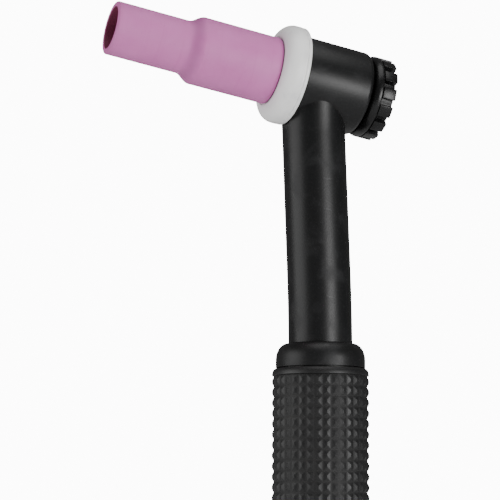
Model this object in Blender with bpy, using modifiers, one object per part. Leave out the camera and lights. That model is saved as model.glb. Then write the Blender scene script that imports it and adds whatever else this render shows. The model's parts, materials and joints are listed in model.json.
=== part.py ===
"""A gas-cooled TIG welding torch with a short back cap, a stepped alumina nozzle and a pyramid-grip handle.

Metres, +Z up the handle, with the nozzle towards -X. The origin is on the handle's axis at its rear end.
Everything in the head is turned about one axis, which crosses the neck's centre line. Places along that
axis are heights in the head's own frame: 0 at the crossing, positive towards the nozzle's mouth.
"""

import math

import bmesh
import bpy
from mathutils import Matrix, Vector

MM = 0.001
GAP = 0.3 * MM
EDGE = 0.4 * MM

# Handle, from its rear end at height 0
HANDLE_LENGTH = 129.6 * MM
HANDLE_BORE = 20.4 * MM
CABLE_BORE_TOP = 104.0 * MM
FLANGE_DIAMETER = 26.6 * MM
FLANGE_THICKNESS = 2.2 * MM
CORE_DIAMETER = 23.0 * MM
COLLAR_DIAMETER = 24.9 * MM
COLLAR_BOTTOM = 122.9 * MM
SHOULDER_WIDTH = 3.1 * MM
SHOULDER_HEIGHT = 4.6 * MM
GRIP_DIAMETER = 27.2 * MM
GRIP_BORE = CORE_DIAMETER + 2 * GAP
GRIP_TOP_WIDTH = 1.3 * MM
GRIP_TOP_HEIGHT = 1.9 * MM

# Neck: straight up the handle, a gentle bend, then straight to the head
NECK_DIAMETER = 17.8 * MM
NECK_TAIL = 95.0 * MM
BEND_START = 124.0 * MM
BEND_RADIUS = 648.0 * MM
NECK_LEAN = math.radians(2.3)
NECK_REACH = 79.9 * MM
FLARE_START = 12.0 * MM
FLARE_RADIUS = 18.0 * MM
NECK_TOP = 2.0 * MM
FLARE_STEPS = 5
TUBE_DIAMETER = 8.0 * MM
TUBE_BORE = 6.0 * MM

# Cable adapter, on the handle's axis
ADAPTER_TOP = 92.0 * MM
ADAPTER_SOCKET_DIAMETER = 12.4 * MM
ADAPTER_SOCKET_BOTTOM = 78.0 * MM
HEX_TOP = 80.0 * MM
HEX_BOTTOM = 73.0 * MM
HEX_ACROSS_FLATS = 14.3 * MM
NIPPLE_BOTTOM = 60.0 * MM
NIPPLE_DIAMETER = 9.5 * MM
NIPPLE_BORE = 5.0 * MM
NIPPLE_LEAD = 0.8 * MM

# Head, along its own axis
HEAD_PITCH = math.radians(9.65)
BARREL_DIAMETER = 24.0 * MM
BARREL_FRONT = 5.65 * MM
BARREL_REAR = -14.38 * MM
BARREL_ROUNDING = 1.1 * MM
TRIM_DIAMETER = 33.6 * MM
COVER_BORE = 17.6 * MM
BODY_DIAMETER = COVER_BORE - 2 * GAP
BODY_FRONT = BARREL_FRONT - 0.2 * MM
BODY_REAR = -13.2 * MM
BOSS_DIAMETER = 12.4 * MM
BOSS_REACH = 14.0 * MM
SOCKET_DEPTH = 7.3 * MM
GAS_PORT_DIAMETER = 2.6 * MM
GAS_PORT_OFFSET = -0.6 * MM
SEAL_BORE = 15.2 * MM
SEAL_FLOOR = -11.2 * MM

# Collet body and what it holds
THREAD_DIAMETER = 12.2 * MM
COLLET_BODY_REAR = -0.3 * MM
THREAD_FRONT = 22.0 * MM
NOSE_DIAMETER = 9.2 * MM
NOSE_TIP = 38.5 * MM
NOSE_TAPER = 5.0 * MM
NOSE_END_RADIUS = 2.7 * MM
THREAD_CHAMFER = 0.5 * MM
SEAT_RADIUS = 2.85 * MM
SEAT_DEPTH = 6.0 * MM
SEAT_LEAD = 0.9 * MM
TIP_BORE_RADIUS = 1.55 * MM
COLLET_CHAMBER = 7.2 * MM
GAS_HOLE_DIAMETER = 2.0 * MM
GAS_HOLE_HEIGHT = 27.0 * MM
GAS_HOLES = 4
COLLET_DIAMETER = 5.0 * MM
COLLET_BORE = 3.0 * MM
COLLET_REAR = -4.7 * MM
COLLET_TIP = 36.4 * MM
COLLET_TAPER_WIDTH = 0.6 * MM
COLLET_TAPER_LENGTH = 1.4 * MM
SLOT_WIDTH = 0.5 * MM
SLOT_START = 20.0 * MM
ELECTRODE_DIAMETER = 2.4 * MM
ELECTRODE_REAR = -14.0 * MM
ELECTRODE_TIP = 52.0 * MM
GROUND_LENGTH = 5.5 * MM
POINT_RADIUS = 0.2 * MM

# Gasket and nozzle
GASKET_DIAMETER = 28.1 * MM
GASKET_REAR = BARREL_FRONT + GAP
GASKET_FRONT = 12.65 * MM
GASKET_ROUND_WIDTH = 4.1 * MM
GASKET_ROUND_DEPTH = 3.9 * MM
GASKET_RECESS = 0.45 * MM
NOZZLE_LENGTH = 47.6 * MM
NOZZLE_REAR = GASKET_FRONT - GASKET_RECESS + GAP
NOZZLE_MOUTH = NOZZLE_REAR + NOZZLE_LENGTH
NOZZLE_BASE_DIAMETER = 19.05 * MM
NOZZLE_TIP_DIAMETER = 15.0 * MM
NOZZLE_BORE = 12.0 * MM
TIP_LENGTH = 20.8 * MM
STEP_LENGTH = 4.4 * MM
RIM_ROUNDING = 0.6 * MM
NOZZLE_THREAD_LENGTH = 12.0 * MM
CHAMBER_RELIEF = 0.8 * MM
BORE_TAPER_LENGTH = 3.4 * MM

# Back cap
CAP_THREAD_DIAMETER = 10.6 * MM
CAP_THREAD_FRONT = COLLET_REAR - GAP
CAP_DIAMETER = 23.0 * MM
CAP_FRONT = BARREL_REAR - GAP
CAP_REAR = -21.7 * MM
CAP_ROUNDING = 1.0 * MM
CAP_REAR_ROUNDING = 0.6 * MM
LINE_DEPTH = 0.2 * MM
DISH_RADIUS = 8.0 * MM
DISH_SLOPE = 0.7 * MM
DISH_DEPTH = 0.5 * MM
SPIGOT_DIAMETER = 16.4 * MM
SPIGOT_FRONT = BODY_REAR - 0.4 * MM
TEETH_FRONT = -17.5 * MM
TOOTH_COUNT = 14
NOTCH_WIDTH = 2.3 * MM
NOTCH_FLOOR_RADIUS = 9.7 * MM
STEM_DIAMETER = 9.2 * MM
STEM_REAR = -18.6 * MM
INSERT_BORE = 3.4 * MM
INSERT_BORE_END = -17.0 * MM
SEAL_CENTRE_RADIUS = 6.45 * MM
SEAL_WIRE_RADIUS = 0.85 * MM
SEAL_HEIGHT = -12.4 * MM

LARGE_SIDES = 48
SMALL_SIDES = 32
CORNER_ANGLE = math.radians(35)


def clear_scene():
    for obj in list(bpy.data.objects):
        bpy.data.objects.remove(obj)


def new_collection(name):
    collection = bpy.data.collections.new(name)
    bpy.context.scene.collection.children.link(collection)
    return collection


def make_material(name, colour, roughness, metallic=0.0):
    material = bpy.data.materials.new(name)
    material.use_nodes = True
    shader = material.node_tree.nodes["Principled BSDF"]
    shader.inputs["Base Color"].default_value = (*colour, 1.0)
    shader.inputs["Roughness"].default_value = roughness
    shader.inputs["Metallic"].default_value = metallic
    return material


clear_scene()
PARTS = new_collection("tig_torch")
CUTTERS = new_collection("tig_torch_cutters")

ALUMINA = make_material("alumina", (0.49, 0.27, 0.41), 0.55)
PTFE = make_material("ptfe", (0.68, 0.68, 0.68), 0.4)
HEAD_PLASTIC = make_material("head_plastic", (0.02, 0.02, 0.02), 0.4)
CAP_PLASTIC = make_material("cap_plastic", (0.015, 0.015, 0.015), 0.25)
HANDLE_PLASTIC = make_material("handle_plastic", (0.02, 0.02, 0.02), 0.45)
GRIP_RUBBER = make_material("grip_rubber", (0.025, 0.025, 0.025), 0.6)
SEAL_RUBBER = make_material("seal_rubber", (0.01, 0.01, 0.01), 0.5)
BRASS = make_material("brass", (0.6, 0.42, 0.18), 0.3, 1.0)
COPPER = make_material("copper", (0.72, 0.36, 0.22), 0.3, 1.0)
TUNGSTEN = make_material("tungsten", (0.33, 0.33, 0.34), 0.35, 1.0)


def add_object(name, mesh, material=None):
    """An object for the mesh: a part if it has a material, otherwise a hidden cutter."""
    obj = bpy.data.objects.new(name, mesh)
    if material is None:
        CUTTERS.objects.link(obj)
        obj.hide_render = True
        obj.display_type = "WIRE"
    else:
        PARTS.objects.link(obj)
        mesh.materials.append(material)
    return obj


def hang(obj, parent):
    """Puts the object in its parent's frame, with no offset."""
    obj.parent = parent
    return obj


def arc(centre, width, height, start, end, steps=5):
    """Points (radius, height) on an ellipse, from one angle to the other in degrees."""
    points = []
    for step in range(steps + 1):
        angle = math.radians(start + (end - start) * step / steps)
        points.append((centre[0] + width * math.cos(angle), centre[1] + height * math.sin(angle)))
    return points


def ramp(top, bottom, steps=6):
    """Points from one (radius, height) to another, leaving and arriving along the axis."""
    points = []
    for step in range(steps + 1):
        share = step / steps
        blend = (1 - math.cos(math.pi * share)) / 2
        radius = top[0] + (bottom[0] - top[0]) * blend
        points.append((radius, top[1] + (bottom[1] - top[1]) * share))
    return points


def turned(name, outline, material=None, sides=LARGE_SIDES, parent=None):
    """A solid of revolution about Z.

    The outline's (radius, height) points run down the outer side and up the bore, and close on themselves.
    An outline that starts and ends on the axis is a solid with no bore.
    """
    count = len(outline)
    edges = [(i, i + 1) for i in range(count - 1)]
    if outline[0][0] > 0:
        edges.append((count - 1, 0))
    mesh = bpy.data.meshes.new(name)
    mesh.from_pydata([(radius, 0.0, height) for radius, height in outline], edges, [])
    obj = add_object(name, mesh, material)
    screw = obj.modifiers.new("turn", "SCREW")
    screw.axis = "Z"
    screw.angle = 2 * math.pi
    screw.steps = sides
    screw.render_steps = sides
    screw.use_merge_vertices = True
    screw.merge_threshold = 0.000001
    return hang(obj, parent)


def cylinder(name, diameter, bottom, top, parent=None, sides=SMALL_SIDES):
    """A plain cylinder about Z, used as a cutter or as a body to join."""
    mesh = bpy.data.meshes.new(name)
    model = bmesh.new()
    place = Matrix.Translation((0, 0, (bottom + top) / 2))
    radius = diameter / 2
    bmesh.ops.create_cone(model, cap_ends=True, segments=sides, radius1=radius, radius2=radius,
                          depth=top - bottom, matrix=place)
    model.to_mesh(mesh)
    model.free()
    return hang(add_object(name, mesh), parent)


def box(name, size, centre, parent=None, turns=(0.0,)):
    """One box for each turn about Z, in radians, joined in a single cutter."""
    mesh = bpy.data.meshes.new(name)
    model = bmesh.new()
    for turn in turns:
        spot = Matrix.Rotation(turn, 4, "Z") @ Matrix.Translation(centre) @ Matrix.Diagonal((*size, 1.0))
        bmesh.ops.create_cube(model, size=1.0, matrix=spot)
    model.to_mesh(mesh)
    model.free()
    return hang(add_object(name, mesh), parent)


def combine(obj, other, operation="DIFFERENCE"):
    modifier = obj.modifiers.new(other.name, "BOOLEAN")
    modifier.operation = operation
    modifier.object = other
    modifier.solver = "EXACT"


def neck_point(reach):
    """The neck's centre line at a distance from the bend's start, negative down the handle."""
    bend_length = BEND_RADIUS * NECK_LEAN
    angle = max(0.0, min(reach / BEND_RADIUS, NECK_LEAN))
    straight = reach - bend_length if reach > bend_length else min(reach, 0.0)
    start = Vector((0, 0, BEND_START))
    bend = Vector((BEND_RADIUS * (math.cos(angle) - 1), 0, BEND_RADIUS * math.sin(angle)))
    return start + bend + straight * Vector((-math.sin(angle), 0, math.cos(angle)))


def flare(distance):
    """How much wider than its diameter the neck is, at a distance from the head's centre, as a radius."""
    within = max(0.0, FLARE_START - distance)
    return FLARE_RADIUS - math.sqrt(FLARE_RADIUS ** 2 - within ** 2)


def neck_rod(name, diameter, bottom, short_of_head, material=None, resolution=6, flared=False):
    """A round rod along the neck, from a height in the handle to a distance short of the head's centre."""
    first = bottom - BEND_START
    bend_length = BEND_RADIUS * NECK_LEAN
    last = NECK_REACH - short_of_head
    reaches = [first, 0.0, bend_length / 4, bend_length / 2, bend_length * 3 / 4, bend_length]
    if flared:
        flare_length = FLARE_START - short_of_head
        reaches += [last - flare_length * share / FLARE_STEPS for share in range(FLARE_STEPS, 0, -1)]
    reaches.append(last)
    curve = bpy.data.curves.new(name + "_path", "CURVE")
    curve.dimensions = "3D"
    curve.bevel_depth = diameter / 2
    curve.bevel_resolution = resolution
    curve.use_fill_caps = True
    spline = curve.splines.new("POLY")
    spline.points.add(len(reaches) - 1)
    for point, reach in zip(spline.points, reaches):
        point.co = (*neck_point(reach), 1.0)
        if flared:
            point.radius = 1 + flare(NECK_REACH - reach) / (diameter / 2)
    path = bpy.data.objects.new(name + "_path", curve)
    CUTTERS.objects.link(path)
    bpy.context.view_layer.update()
    mesh = bpy.data.meshes.new_from_object(path.evaluated_get(bpy.context.evaluated_depsgraph_get()))
    bpy.data.objects.remove(path)
    model = bmesh.new()
    model.from_mesh(mesh)
    bmesh.ops.remove_doubles(model, verts=model.verts, dist=0.000001)
    bmesh.ops.recalc_face_normals(model, faces=model.faces)
    model.to_mesh(mesh)
    model.free()
    mesh.materials.clear()
    mesh.name = name
    return add_object(name, mesh, material)


def make_frames():
    """Empties for the head's axis and for the neck's end, whose Z runs down the neck from the head's centre."""
    head = bpy.data.objects.new("head_axis", None)
    head.location = neck_point(NECK_REACH)
    head.rotation_euler = (0, HEAD_PITCH - math.pi / 2, 0)
    neck = bpy.data.objects.new("neck_axis", None)
    neck.location = head.location
    neck.rotation_euler = (0, math.pi - NECK_LEAN, 0)
    for frame in (head, neck):
        PARTS.objects.link(frame)
    return head, neck


def make_handle():
    bore = HANDLE_BORE / 2
    guide = NECK_DIAMETER / 2 + GAP
    collar = COLLAR_DIAMETER / 2
    shoulder = (collar - SHOULDER_WIDTH, HANDLE_LENGTH - SHOULDER_HEIGHT)
    core = arc(shoulder, SHOULDER_WIDTH, SHOULDER_HEIGHT, 90, 0, 7) + [
        (collar, COLLAR_BOTTOM),
        (CORE_DIAMETER / 2, COLLAR_BOTTOM),
        (CORE_DIAMETER / 2, FLANGE_THICKNESS),
        (FLANGE_DIAMETER / 2, FLANGE_THICKNESS),
        (FLANGE_DIAMETER / 2, EDGE),
        (FLANGE_DIAMETER / 2 - EDGE, 0.0),
        (bore, 0.0),
        (bore, CABLE_BORE_TOP),
        (guide, CABLE_BORE_TOP + (bore - guide)),
        (guide, HANDLE_LENGTH),
    ]
    turned("handle_core", core, HANDLE_PLASTIC)

    grip = GRIP_DIAMETER / 2
    inner = GRIP_BORE / 2
    top = COLLAR_BOTTOM - GAP
    bottom = FLANGE_THICKNESS + GAP
    crown = (grip - GRIP_TOP_WIDTH, top - GRIP_TOP_HEIGHT)
    sleeve = arc(crown, GRIP_TOP_WIDTH, GRIP_TOP_HEIGHT, 90, 0, 4) + [
        (grip, bottom + EDGE),
        (grip - EDGE, bottom),
        (inner, bottom),
        (inner, top),
    ]
    turned("handle_grip", sleeve, GRIP_RUBBER)


def make_adapter():
    """The brass fitting brazed on the neck tube, with a spanner hexagon and a nipple for the power cable."""
    nipple = NIPPLE_DIAMETER / 2
    socket = ADAPTER_SOCKET_DIAMETER / 2
    outline = [
        (0.0, ADAPTER_TOP),
        (socket - EDGE, ADAPTER_TOP),
        (socket, ADAPTER_TOP - EDGE),
        (socket, HEX_BOTTOM + MM),
        (nipple, HEX_BOTTOM + MM),
        (nipple, NIPPLE_BOTTOM + NIPPLE_LEAD),
        (nipple - NIPPLE_LEAD, NIPPLE_BOTTOM),
        (0.0, NIPPLE_BOTTOM),
    ]
    adapter = turned("cable_adapter", outline, BRASS, SMALL_SIDES)
    corners = HEX_ACROSS_FLATS / math.cos(math.radians(30))
    hexagon = cylinder("adapter_hexagon", corners, HEX_BOTTOM, HEX_TOP, sides=6)
    combine(adapter, hexagon, "UNION")
    tube_socket = cylinder("adapter_tube_socket", TUBE_DIAMETER + 2 * GAP, ADAPTER_SOCKET_BOTTOM,
                           ADAPTER_TOP + MM)
    combine(adapter, tube_socket)
    combine(adapter, cylinder("adapter_gas_bore", NIPPLE_BORE, NIPPLE_BOTTOM - MM, ADAPTER_SOCKET_BOTTOM + MM))


def make_neck_tube():
    bottom = ADAPTER_SOCKET_BOTTOM + GAP
    end = SOCKET_DEPTH + GAP
    tube = neck_rod("neck_tube", TUBE_DIAMETER, bottom, end, COPPER, 5)
    combine(tube, neck_rod("neck_tube_bore", TUBE_BORE, bottom - MM, end - MM, resolution=4))


def make_head_cover(head, neck):
    """The insulation moulded in one piece round the head and down the neck."""
    radius = BARREL_DIAMETER / 2
    rounding = arc((radius - BARREL_ROUNDING, BARREL_REAR + BARREL_ROUNDING), BARREL_ROUNDING,
                   BARREL_ROUNDING, 0, -90, 4)
    barrel = [(0.0, BARREL_FRONT), (radius - EDGE, BARREL_FRONT), (radius, BARREL_FRONT - EDGE)]
    cover = turned("head_cover", barrel + rounding + [(0.0, BARREL_REAR)], HEAD_PLASTIC, parent=head)
    cover_neck = neck_rod("cover_neck", NECK_DIAMETER, NECK_TAIL, NECK_TOP, resolution=10, flared=True)
    combine(cover, cover_neck, "UNION")
    front_trim = cylinder("cover_front_trim", TRIM_DIAMETER, BARREL_FRONT, BARREL_FRONT + 6 * MM, head)
    combine(cover, front_trim)
    combine(cover, cylinder("cover_bore", COVER_BORE, BARREL_REAR - MM, BARREL_FRONT + MM, head, LARGE_SIDES))
    boss_reach = BOSS_REACH + GAP
    combine(cover, cylinder("cover_boss_pocket", BOSS_DIAMETER + 2 * GAP, 5 * MM, boss_reach, neck))
    tube_bore = neck_rod("cover_tube_bore", TUBE_DIAMETER + 2 * GAP, NECK_TAIL - MM, 6 * MM)
    combine(cover, tube_bore)


def make_head_body(head, neck):
    """The brass body: threads for the collet body in front and the back cap behind, and a boss for the tube."""
    radius = BODY_DIAMETER / 2
    outline = [
        (0.0, BODY_FRONT),
        (radius - EDGE, BODY_FRONT),
        (radius, BODY_FRONT - EDGE),
        (radius, BODY_REAR),
        (0.0, BODY_REAR),
    ]
    body = turned("head_body", outline, BRASS, LARGE_SIDES, head)
    combine(body, cylinder("body_boss", BOSS_DIAMETER, 4 * MM, BOSS_REACH, neck), "UNION")
    front_bore = THREAD_DIAMETER + 2 * GAP
    combine(body, cylinder("body_front_bore", front_bore, COLLET_BODY_REAR - GAP, BODY_FRONT + MM, head))
    rear_bore = CAP_THREAD_DIAMETER + 2 * GAP
    combine(body, cylinder("body_rear_bore", rear_bore, BODY_REAR - MM, MM, head))
    combine(body, cylinder("body_seal_bore", SEAL_BORE, BODY_REAR - MM, SEAL_FLOOR, head))
    combine(body, cylinder("body_tube_socket", TUBE_DIAMETER + 2 * GAP, SOCKET_DEPTH, BOSS_REACH + MM, neck))
    port = cylinder("body_gas_port", GAS_PORT_DIAMETER, 3 * MM, SOCKET_DEPTH + MM, neck, 16)
    port.location.x = -GAS_PORT_OFFSET
    combine(body, port)


def make_collet_body(head):
    """The copper sleeve that screws into the head, carries the nozzle's thread and vents the gas."""
    thread = THREAD_DIAMETER / 2
    nose = NOSE_DIAMETER / 2
    chamber = COLLET_CHAMBER / 2
    outline = [
        (NOSE_END_RADIUS - EDGE, NOSE_TIP),
        (NOSE_END_RADIUS, NOSE_TIP - EDGE),
        (nose, NOSE_TIP - NOSE_TAPER),
        (nose, THREAD_FRONT + THREAD_CHAMFER),
        (thread - THREAD_CHAMFER, THREAD_FRONT),
        (thread, THREAD_FRONT - THREAD_CHAMFER),
        (thread, COLLET_BODY_REAR + THREAD_CHAMFER),
        (thread - THREAD_CHAMFER, COLLET_BODY_REAR),
        (chamber, COLLET_BODY_REAR),
        (chamber, COLLET_TIP - SEAT_DEPTH),
        (SEAT_RADIUS, COLLET_TIP - SEAT_DEPTH + (chamber - SEAT_RADIUS)),
        (SEAT_RADIUS, COLLET_TIP - SEAT_LEAD),
        (TIP_BORE_RADIUS, COLLET_TIP + SEAT_RADIUS - TIP_BORE_RADIUS),
        (TIP_BORE_RADIUS, NOSE_TIP),
    ]
    body = turned("collet_body", outline, COPPER, SMALL_SIDES, head)
    for index in range(GAS_HOLES // 2):
        drill = cylinder(f"gas_drill_{index}", GAS_HOLE_DIAMETER, -nose - MM, nose + MM, head, 16)
        drill.location.z = GAS_HOLE_HEIGHT
        drill.rotation_euler = (math.pi / 2, 0, math.pi / 4 + index * math.pi / 2)
        combine(body, drill)


def make_collet(head):
    """The slotted copper tube whose tapered tip closes on the electrode."""
    outer = COLLET_DIAMETER / 2
    bore = COLLET_BORE / 2
    outline = [
        (outer - COLLET_TAPER_WIDTH, COLLET_TIP),
        (outer, COLLET_TIP - COLLET_TAPER_LENGTH),
        (outer, COLLET_REAR),
        (bore, COLLET_REAR),
        (bore, COLLET_TIP),
    ]
    collet = turned("collet", outline, COPPER, SMALL_SIDES, head)
    length = COLLET_TIP + MM - SLOT_START
    centre = (0, 0, SLOT_START + length / 2)
    across = COLLET_DIAMETER + MM
    for index, size in enumerate(((SLOT_WIDTH, across, length), (across, SLOT_WIDTH, length))):
        combine(collet, box(f"collet_slot_{index}", size, centre, head))


def make_electrode(head):
    radius = ELECTRODE_DIAMETER / 2
    outline = [
        (0.0, ELECTRODE_TIP),
        (POINT_RADIUS, ELECTRODE_TIP),
        (radius, ELECTRODE_TIP - GROUND_LENGTH),
        (radius, ELECTRODE_REAR),
        (0.0, ELECTRODE_REAR),
    ]
    turned("tungsten_electrode", outline, TUNGSTEN, 24, head)


def make_gasket(head):
    radius = GASKET_DIAMETER / 2
    centre = (radius - GASKET_ROUND_WIDTH, GASKET_FRONT - GASKET_ROUND_DEPTH)
    bore = THREAD_DIAMETER / 2 + GAP
    recess = NOZZLE_BASE_DIAMETER / 2 + GAP
    outline = arc(centre, GASKET_ROUND_WIDTH, GASKET_ROUND_DEPTH, 90, 0, 7) + [
        (radius, GASKET_REAR + EDGE),
        (radius - EDGE, GASKET_REAR),
        (bore, GASKET_REAR),
        (bore, GASKET_FRONT - GASKET_RECESS),
        (recess, GASKET_FRONT - GASKET_RECESS),
        (recess, GASKET_FRONT),
    ]
    turned("cup_gasket", outline, PTFE, parent=head)


def make_nozzle(head):
    tip = NOZZLE_TIP_DIAMETER / 2
    base = NOZZLE_BASE_DIAMETER / 2
    bore = NOZZLE_BORE / 2
    thread = THREAD_DIAMETER / 2 + GAP
    chamber = thread + CHAMBER_RELIEF
    thread_end = NOZZLE_REAR + NOZZLE_THREAD_LENGTH
    step_top = NOZZLE_MOUTH - TIP_LENGTH
    taper_top = step_top - MM
    rim = arc((tip - RIM_ROUNDING, NOZZLE_MOUTH - RIM_ROUNDING), RIM_ROUNDING, RIM_ROUNDING, 90, 0, 3)
    outline = rim + ramp((tip, step_top), (base, step_top - STEP_LENGTH)) + [
        (base, NOZZLE_REAR + EDGE),
        (base - EDGE, NOZZLE_REAR),
        (thread, NOZZLE_REAR),
        (thread, thread_end),
        (chamber, thread_end + CHAMBER_RELIEF),
        (chamber, taper_top - BORE_TAPER_LENGTH),
        (bore, taper_top),
        (bore, NOZZLE_MOUTH - EDGE),
        (bore + EDGE, NOZZLE_MOUTH),
    ]
    turned("gas_nozzle", outline, ALUMINA, parent=head)


def make_back_cap(head):
    """The short back cap: a toothed plastic knob, its threaded brass insert and its O-ring."""
    radius = CAP_DIAMETER / 2
    pocket = STEM_DIAMETER / 2 + GAP
    outline = [
        (0.0, STEM_REAR - GAP),
        (pocket, STEM_REAR - GAP),
        (pocket, SPIGOT_FRONT),
        (SPIGOT_DIAMETER / 2, SPIGOT_FRONT),
        (SPIGOT_DIAMETER / 2, CAP_FRONT),
    ]
    outline += arc((radius - CAP_ROUNDING, CAP_FRONT - CAP_ROUNDING), CAP_ROUNDING, CAP_ROUNDING, 90, 0, 4)
    outline += [
        (radius, TEETH_FRONT + 2 * LINE_DEPTH),
        (radius - LINE_DEPTH, TEETH_FRONT + LINE_DEPTH),
        (radius, TEETH_FRONT),
        (radius, CAP_REAR + CAP_REAR_ROUNDING),
        (radius - CAP_REAR_ROUNDING, CAP_REAR),
        (DISH_RADIUS, CAP_REAR),
        (DISH_RADIUS - DISH_SLOPE, CAP_REAR + DISH_DEPTH),
        (0.0, CAP_REAR + DISH_DEPTH),
    ]
    knob = turned("back_cap_knob", outline, CAP_PLASTIC, 56, head)
    depth = TEETH_FRONT - (CAP_REAR - MM)
    reach = radius + MM - NOTCH_FLOOR_RADIUS
    centre = (NOTCH_FLOOR_RADIUS + reach / 2, 0, CAP_REAR - MM + depth / 2)
    turns = [index * 2 * math.pi / TOOTH_COUNT for index in range(TOOTH_COUNT)]
    combine(knob, box("cap_notches", (reach, NOTCH_WIDTH, depth), centre, head, turns))

    thread = CAP_THREAD_DIAMETER / 2
    insert = [
        (0.0, INSERT_BORE_END),
        (INSERT_BORE / 2, INSERT_BORE_END),
        (INSERT_BORE / 2, CAP_THREAD_FRONT),
        (thread - EDGE, CAP_THREAD_FRONT),
        (thread, CAP_THREAD_FRONT - EDGE),
        (thread, SPIGOT_FRONT + GAP),
        (STEM_DIAMETER / 2, SPIGOT_FRONT + GAP),
        (STEM_DIAMETER / 2, STEM_REAR),
        (0.0, STEM_REAR),
    ]
    turned("back_cap_insert", insert, BRASS, SMALL_SIDES, head)

    ring = arc((SEAL_CENTRE_RADIUS, SEAL_HEIGHT), SEAL_WIRE_RADIUS, SEAL_WIRE_RADIUS, 90, -270, 12)
    turned("back_cap_oring", ring[:-1], SEAL_RUBBER, SMALL_SIDES, head)


def shade_round():
    """Makes each part a plain mesh, shaded smooth with its corners kept sharp."""
    bpy.context.view_layer.update()
    graph = bpy.context.evaluated_depsgraph_get()
    for obj in PARTS.objects:
        if obj.type == "MESH":
            mesh = bpy.data.meshes.new_from_object(obj.evaluated_get(graph))
            obj.modifiers.clear()
            obj.data = mesh
            mesh.name = obj.name
            mesh.shade_smooth()
            mesh.set_sharp_from_angle(angle=CORNER_ANGLE)


def main():
    head, neck = make_frames()
    make_handle()
    make_adapter()
    make_neck_tube()
    make_head_cover(head, neck)
    make_head_body(head, neck)
    make_collet_body(head)
    make_collet(head)
    make_electrode(head)
    make_gasket(head)
    make_nozzle(head)
    make_back_cap(head)
    shade_round()


main()
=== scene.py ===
"""The look of a gas-cooled TIG welding torch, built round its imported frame.

Lengths are metres in the frame's own axes: +Z up the handle, with the nozzle towards -X. Pieces of the
head are drawn about the head's axis, with height 0 where it crosses the neck and rising to the mouth.
"""

import json
import logging
import math
from collections.abc import Callable
from dataclasses import dataclass
from enum import Enum
from typing import Protocol

import bpy
from mathutils import Matrix, Vector


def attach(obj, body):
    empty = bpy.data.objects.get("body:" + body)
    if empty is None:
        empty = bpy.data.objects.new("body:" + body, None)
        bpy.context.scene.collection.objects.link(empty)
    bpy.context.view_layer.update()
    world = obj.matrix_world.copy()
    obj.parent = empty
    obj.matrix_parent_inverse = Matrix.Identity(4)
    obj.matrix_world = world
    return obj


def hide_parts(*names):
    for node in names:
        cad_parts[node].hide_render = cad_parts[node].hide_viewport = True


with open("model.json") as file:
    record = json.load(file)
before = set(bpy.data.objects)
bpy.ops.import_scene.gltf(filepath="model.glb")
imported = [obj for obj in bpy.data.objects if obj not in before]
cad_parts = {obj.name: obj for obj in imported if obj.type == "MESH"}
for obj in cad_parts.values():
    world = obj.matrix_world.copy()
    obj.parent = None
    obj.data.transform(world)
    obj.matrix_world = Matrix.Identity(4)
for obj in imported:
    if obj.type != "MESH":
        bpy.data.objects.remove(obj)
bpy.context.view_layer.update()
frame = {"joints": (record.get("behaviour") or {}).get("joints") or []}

MM = 0.001
GAP = 0.3 * MM
WELD = 0.000001
FULL_TURN = 2 * math.pi
SMOOTH_ANGLE = math.radians(34)
log = logging.getLogger("tig_torch")

Colour = tuple[float, float, float]
Piece = bpy.types.Object
Material = bpy.types.Material


class Body(Enum):
    """The moving bodies of the frame."""

    HANDLE = "handle"
    TORCH = "torch_body"
    GASKET = "gasket"
    NOZZLE = "nozzle"
    SEAL = "cap_seal"
    CAP = "back_cap"
    COLLET = "collet"
    ELECTRODE = "electrode"


class Leave(Enum):
    """The direction in which a rounded corner of an outline sets off."""

    OUTWARD = "outward"
    ALONG = "along"


class Cut(Enum):
    """How a second solid acts on a first."""

    REMOVE = "DIFFERENCE"
    ADD = "UNION"
    KEEP = "INTERSECT"


# ---------------------------------------------------------------- places


@dataclass(frozen=True)
class Axis:
    """A turning axis: its Z is the axis, and its Y is the frame's own Y.

    Args:
        origin: where height 0 lies.
        direction: the way in which heights rise.
    """

    origin: Vector
    direction: Vector

    def matrix(self) -> Matrix:
        """Returns the transform from the axis's coordinates to the frame's."""
        side = Vector((0, 1, 0))
        up = self.direction.normalized()
        columns = Matrix((side.cross(up), side, up)).transposed()
        return Matrix.Translation(self.origin) @ columns.to_4x4()


def joint_axis(name: str) -> Axis:
    """Finds a joint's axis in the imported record.

    Args:
        name: the joint's name.

    Returns:
        The axis through the joint's pivot.
    """
    joint = next(joint for joint in frame["joints"] if joint["name"] == name)
    return Axis(Vector(joint["pos_m"]), Vector(joint["axis"]))


HEAD = joint_axis("nozzle_turn")
HANDLE = Axis(Vector((0, 0, 0)), Vector((0, 0, 1)))


# ---------------------------------------------------------------- modelling tools


def select_only(obj: Piece) -> None:
    """Leaves just this object selected and active."""
    bpy.ops.object.select_all(action="DESELECT")
    obj.select_set(True)
    bpy.context.view_layer.objects.active = obj


def settle() -> None:
    """Moves the selected object's place into its mesh."""
    bpy.ops.object.transform_apply(location=True, rotation=True, scale=True)


def add(name: str, primitive: Callable[..., set[str]], **settings: object) -> Piece:
    """Adds a primitive, with its place in its mesh.

    Args:
        name: the name of the new object and of its mesh.
        primitive: the operator that adds it.
        settings: the operator's settings.

    Returns:
        The new object, selected on its own.
    """
    bpy.ops.object.select_all(action="DESELECT")
    primitive(**settings)
    obj = bpy.context.object
    obj.name = obj.data.name = name
    settle()
    return obj


def in_edit_mode(obj: Piece, work: Callable[[], None]) -> None:
    """Works on an object in edit mode.

    Args:
        obj: the object.
        work: what runs the operators.
    """
    select_only(obj)
    bpy.ops.object.mode_set(mode="EDIT")
    work()
    bpy.ops.object.mode_set(mode="OBJECT")


def close_up() -> None:
    """Merges doubled points, and turns all faces the same way, in edit mode."""
    bpy.ops.mesh.select_all(action="SELECT")
    bpy.ops.mesh.remove_doubles(threshold=WELD)
    bpy.ops.mesh.normals_make_consistent(inside=False)


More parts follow.
